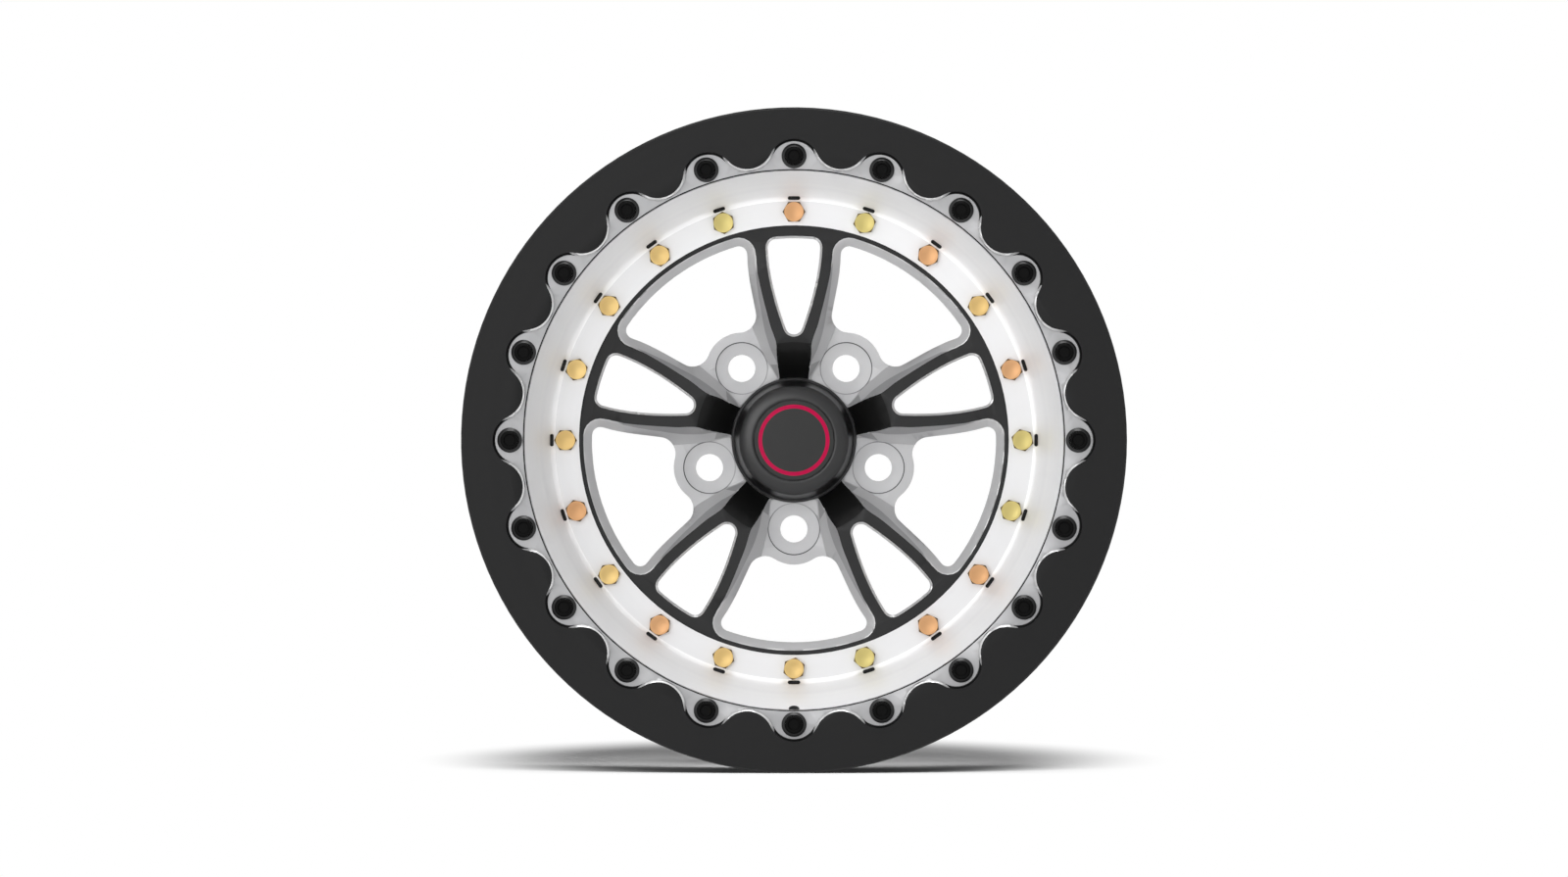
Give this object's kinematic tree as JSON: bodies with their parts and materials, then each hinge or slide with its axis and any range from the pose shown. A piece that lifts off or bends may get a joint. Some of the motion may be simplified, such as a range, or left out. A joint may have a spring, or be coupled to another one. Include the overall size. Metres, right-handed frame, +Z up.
{
  "type": "wheel",
  "caption": "Three-piece forged drag wheel with split spokes, a polished dish, a domed centre cap, plated rim bolts and a bolted black bead-lock clamp ring.",
  "frame": {"origin": "centre of the hub mounting face, on the wheel's axis", "axes": "the axis runs along Y, the front faces -Y, +Z is up with one spoke upright, +X is to the right seen from the front"},
  "size_m": [0.4261, 0.2842, 0.4262],
  "materials": {
    "centre_finish": "black anodised forging, with the bevels and pockets milled bare",
    "outer_shell_finish": "spun aluminium, polished bright",
    "inner_shell_finish": "spun aluminium, bright as formed",
    "sealant": "grey sealant bead",
    "base_ring_finish": "machined bare",
    "weld_bead": "as welded",
    "ring_finish": "black anodised, with the bolt pockets milled bare",
    "black_fastener": "black oxide",
    "insert_steel": "plain steel",
    "zinc_amber": "yellow zinc plate, amber tone",
    "zinc_gold": "yellow zinc plate, gold tone",
    "zinc_straw": "yellow zinc plate, pale straw tone",
    "nut_steel": "clear zinc plate",
    "nylon": "natural nylon",
    "cap_finish": "black anodised, satin",
    "disc_finish": "black with a printed red ring",
    "seal_rubber": "black rubber"
  },
  "bodies": {
    "root": {"wheel_centre": "centre_finish", "outer_rim_shell": "outer_shell_finish", "inner_rim_shell": "inner_shell_finish", "rim_joint_seal": "sealant", "bead_base_ring": "base_ring_finish", "base_ring_weld": "weld_bead", "bead_clamp_ring": "ring_finish", "clamp_ring_bolts": "black_fastener", "thread_inserts": "insert_steel", "rim_bolts_amber": "zinc_amber", "rim_bolts_gold": "zinc_gold", "rim_bolts_straw": "zinc_straw", "rim_bolt_washers": "nut_steel", "rim_lock_nuts": "nut_steel", "lock_nut_rings": "nylon", "centre_cap": "cap_finish", "cap_disc": "disc_finish", "cap_seal_ring": "seal_rubber"}
  },
  "joints": []
}
